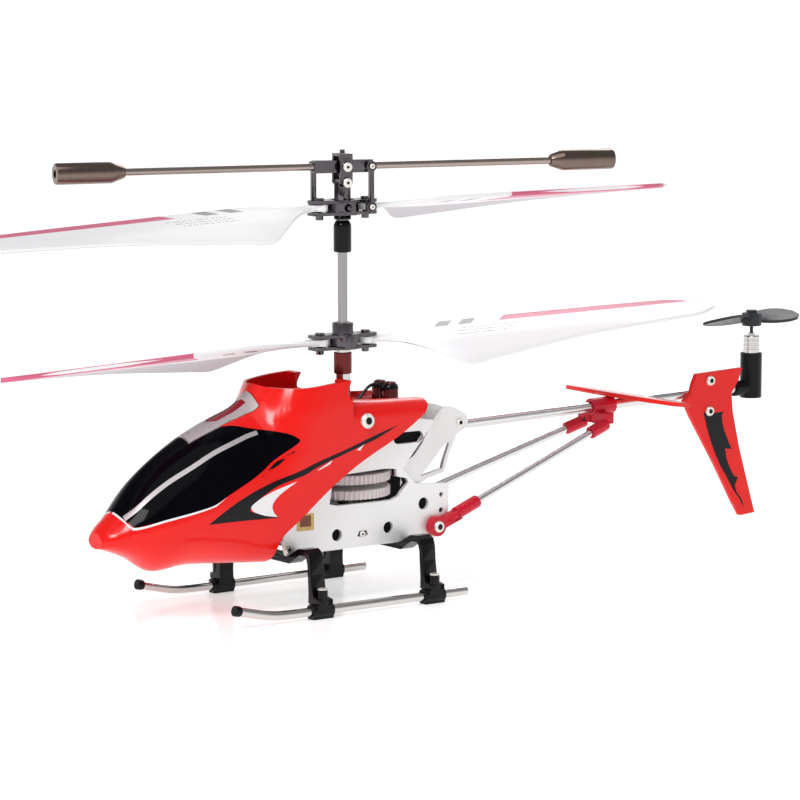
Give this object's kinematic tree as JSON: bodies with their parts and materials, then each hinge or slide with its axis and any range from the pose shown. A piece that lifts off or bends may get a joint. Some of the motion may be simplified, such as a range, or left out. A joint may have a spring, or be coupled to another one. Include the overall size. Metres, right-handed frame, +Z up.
{
  "type": "remote control helicopter",
  "caption": "Palm-size coaxial toy helicopter with red canopy, contra-rotating rotors under a weighted flybar, braced tail boom, fin and tube skids.",
  "frame": {"origin": "middle of the overall length and width, on the floor under the skids", "axes": "+X to the helicopter's left (port), -Y towards the nose, +Y towards the tail, +Z up along the rotor mast"},
  "size_m": [0.0437, 0.2334, 0.1004],
  "materials": {
    "red_gloss": "high gloss red moulded plastic",
    "red_plastic": "satin red moulded plastic",
    "window_black": "mirror-smooth black plastic",
    "silver_trim": "silver painted plastic",
    "frame_alloy": "satin stamped sheet alloy",
    "boom_alloy": "polished drawn alloy",
    "steel": "polished ground steel",
    "black_gloss": "glossy black moulded plastic",
    "black_plastic": "satin black moulded plastic",
    "grip_plastic": "glossy charcoal moulded plastic",
    "blade_white": "white moulded plastic with a pink leading-edge band",
    "gear_plastic": "milky natural plastic",
    "weight_bronze": "dark nickel-bronze plated brass",
    "motor_can": "dark reddish lacquered steel",
    "board": "green lacquered circuit board",
    "battery_foil": "blue shrink foil",
    "prop_grey": "satin dark grey plastic"
  },
  "bodies": {
    "airframe": {"canopy_shell": "red_gloss", "windshield": "window_black", "top_vent": "silver_trim", "canopy_screw_port": "steel", "canopy_screw_starboard": "steel", "frame_plate_port": "frame_alloy", "frame_plate_starboard": "frame_alloy", "boom_bracket_port": "frame_alloy", "boom_bracket_starboard": "frame_alloy", "bearing_block_lower": "black_plastic", "bearing_block_upper": "black_plastic", "battery_pack": "battery_foil", "control_board": "board", "front_strut_arch": "black_gloss", "rear_strut_arch": "black_gloss", "skid_tube_port": "steel", "skid_tube_starboard": "steel", "skid_cap_port": "black_plastic", "skid_cap_starboard": "black_plastic", "tail_boom": "boom_alloy", "brace_rod_port": "boom_alloy", "brace_rod_starboard": "boom_alloy", "brace_fitting_port": "red_plastic", "brace_fitting_starboard": "red_plastic", "brace_screw_port": "steel", "brace_screw_starboard": "steel", "stabiliser_bracket": "red_plastic", "horizontal_stabiliser": "red_gloss", "vertical_fin": "red_gloss", "fin_screw_upper": "steel", "fin_screw_lower": "steel", "tail_motor_housing": "black_plastic", "tail_motor": "steel", "main_motor_port": "motor_can", "main_motor_starboard": "motor_can", "motor_lead": "black_plastic"},
    "power_switch": {"power_switch_slider": "black_plastic"},
    "port_pinion": {"motor_pinion_port": "weight_bronze"},
    "starboard_pinion": {"motor_pinion_starboard": "weight_bronze"},
    "lower_rotor": {"outer_shaft": "steel", "upper_main_gear": "gear_plastic", "lower_shaft_collar": "black_gloss", "lower_blade_grip": "grip_plastic"},
    "lower_blade_a": {"lower_blade_1": "blade_white"},
    "lower_blade_b": {"lower_blade_2": "blade_white"},
    "upper_rotor": {"inner_shaft": "steel", "lower_main_gear": "gear_plastic", "upper_shaft_collar": "black_gloss", "rotor_hub": "black_gloss"},
    "upper_grip": {"upper_blade_grip": "grip_plastic"},
    "upper_blade_a": {"upper_blade_1": "blade_white"},
    "upper_blade_b": {"upper_blade_2": "blade_white"},
    "flybar": {"flybar_seesaw": "grip_plastic", "flybar_rod": "steel", "flybar_weight_1": "weight_bronze", "flybar_weight_2": "weight_bronze"},
    "link_a": {"flybar_link_1": "black_plastic"},
    "link_b": {"flybar_link_2": "black_plastic"},
    "tail_rotor": {"tail_propeller": "prop_grey"}
  },
  "joints": [
    {"name": "lower_rotor_spin", "type": "hinge", "parent": "airframe", "child": "lower_rotor", "pos_m": [-0.00006, -0.02164, 0.05765], "axis": [0, 0, 1], "continuous": true},
    {"name": "upper_rotor_spin", "type": "hinge", "parent": "airframe", "child": "upper_rotor", "pos_m": [-0.00006, -0.02164, 0.084], "axis": [0, 0, 1], "continuous": true},
    {"name": "port_pinion_spin", "type": "hinge", "parent": "airframe", "child": "port_pinion", "pos_m": [0.00189, -0.00994, 0.0276], "axis": [0, 0, 1], "continuous": true},
    {"name": "starboard_pinion_spin", "type": "hinge", "parent": "airframe", "child": "starboard_pinion", "pos_m": [-0.00201, -0.00994, 0.0242], "axis": [0, 0, 1], "continuous": true},
    {"name": "lower_blade_a_lag", "type": "hinge", "parent": "lower_rotor", "child": "lower_blade_a", "pos_m": [0.00028, -0.01565, 0.05765], "axis": [0, 0, 1], "range_deg": [-60, 60]},
    {"name": "lower_blade_b_lag", "type": "hinge", "parent": "lower_rotor", "child": "lower_blade_b", "pos_m": [-0.0004, -0.02763, 0.05765], "axis": [0, 0, 1], "range_deg": [-60, 60]},
    {"name": "flybar_teeter", "type": "hinge", "parent": "upper_rotor", "child": "flybar", "pos_m": [-0.00006, -0.02164, 0.0967], "axis": [-0.9715, 0.2368, 0], "range_deg": [-12, 12]},
    {"name": "upper_grip_teeter", "type": "hinge", "parent": "upper_rotor", "child": "upper_grip", "pos_m": [-0.00006, -0.02164, 0.08765], "axis": [-0.9715, 0.2368, 0], "range_deg": [-12, 12]},
    {"name": "upper_blade_a_lag", "type": "hinge", "parent": "upper_grip", "child": "upper_blade_a", "pos_m": [0.0003, -0.01565, 0.08765], "axis": [0, 0, 1], "range_deg": [-30, 60]},
    {"name": "upper_blade_b_lag", "type": "hinge", "parent": "upper_grip", "child": "upper_blade_b", "pos_m": [-0.00042, -0.02763, 0.08765], "axis": [0, 0, 1], "range_deg": [-30, 60]},
    {"name": "link_a_pivot", "type": "hinge", "parent": "flybar", "child": "link_a", "pos_m": [0.00368, -0.01642, 0.0967], "axis": [-0.9715, 0.2368, 0], "range_deg": [-12, 12]},
    {"name": "link_b_pivot", "type": "hinge", "parent": "flybar", "child": "link_b", "pos_m": [-0.0038, -0.02686, 0.0967], "axis": [-0.9715, 0.2368, 0], "range_deg": [-12, 12]},
    {"name": "tail_rotor_spin", "type": "hinge", "parent": "airframe", "child": "tail_rotor", "pos_m": [-0.00006, 0.10066, 0.0548], "axis": [0, 0, 1], "continuous": true},
    {"name": "power_switch_slide", "type": "slide", "parent": "airframe", "child": "power_switch", "axis": [0, 1, 0], "range_m": [0, 0.002]}
  ],
  "couplings": [
    {"joint": "port_pinion_spin", "follows": "lower_rotor_spin", "ratio": -7},
    {"joint": "starboard_pinion_spin", "follows": "upper_rotor_spin", "ratio": -7},
    {"joint": "upper_grip_teeter", "follows": "flybar_teeter", "ratio": 1},
    {"joint": "link_a_pivot", "follows": "flybar_teeter", "ratio": -1},
    {"joint": "link_b_pivot", "follows": "flybar_teeter", "ratio": -1}
  ]
}
